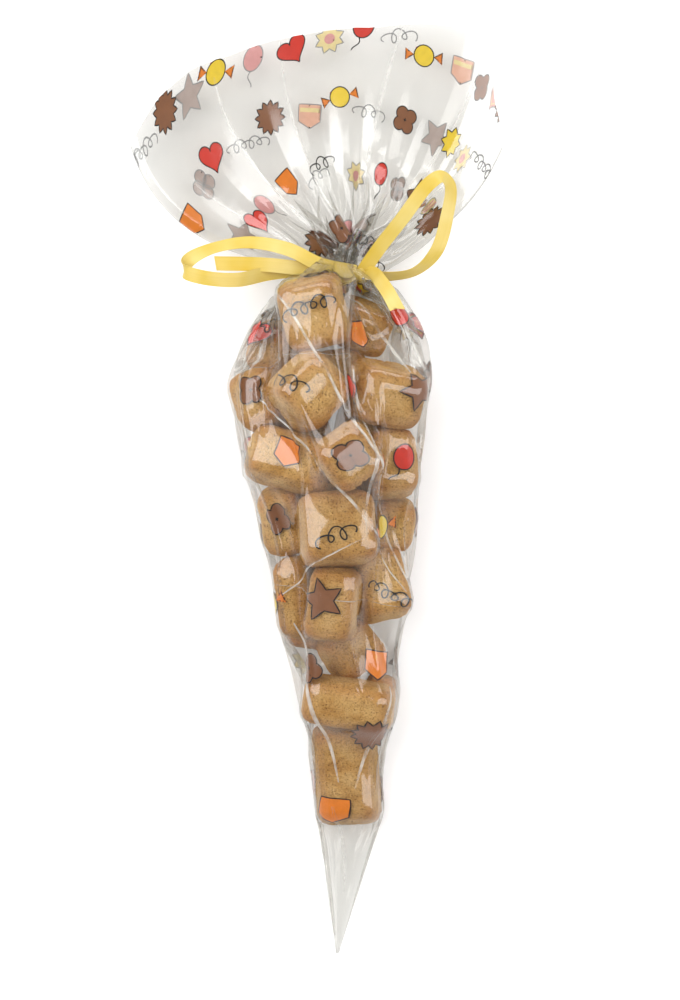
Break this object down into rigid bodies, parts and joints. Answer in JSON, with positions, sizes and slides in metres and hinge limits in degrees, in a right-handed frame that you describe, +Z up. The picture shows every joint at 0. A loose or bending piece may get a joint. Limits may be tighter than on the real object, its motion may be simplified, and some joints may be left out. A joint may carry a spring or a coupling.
{
  "type": "filled clear cone bag",
  "caption": "Clear printed film cone bag filled with baked spiced biscuit chunks, gathered at the neck with a yellow gift ribbon bow under a flared ruffle, lying on its back.",
  "frame": {"origin": "middle of the bag's bounding box, on the surface that the bag lies on", "axes": "+Z up, +Y along the bag from the cone's tip to the flared mouth, +X across the bag"},
  "size_m": [0.131, 0.33, 0.0531],
  "materials": {
    "film": "clear thin polypropylene film, glossy, lightly creased, with small printed motifs",
    "ribbon": "satin yellow polypropylene curling ribbon",
    "biscuit": "dry baked crumb, matte, browner at the edges and on the base"
  },
  "bodies": {
    "root": {"film_bag": "film", "ribbon": "ribbon", "biscuit_01": "biscuit", "biscuit_02": "biscuit", "biscuit_03": "biscuit", "biscuit_04": "biscuit", "biscuit_05": "biscuit", "biscuit_06": "biscuit", "biscuit_07": "biscuit", "biscuit_08": "biscuit", "biscuit_09": "biscuit", "biscuit_10": "biscuit", "biscuit_11": "biscuit", "biscuit_12": "biscuit", "biscuit_13": "biscuit", "biscuit_14": "biscuit", "biscuit_15": "biscuit", "biscuit_16": "biscuit", "biscuit_17": "biscuit", "biscuit_18": "biscuit", "biscuit_19": "biscuit", "biscuit_20": "biscuit", "biscuit_21": "biscuit", "biscuit_22": "biscuit", "biscuit_23": "biscuit", "biscuit_24": "biscuit", "biscuit_25": "biscuit"}
  },
  "joints": []
}
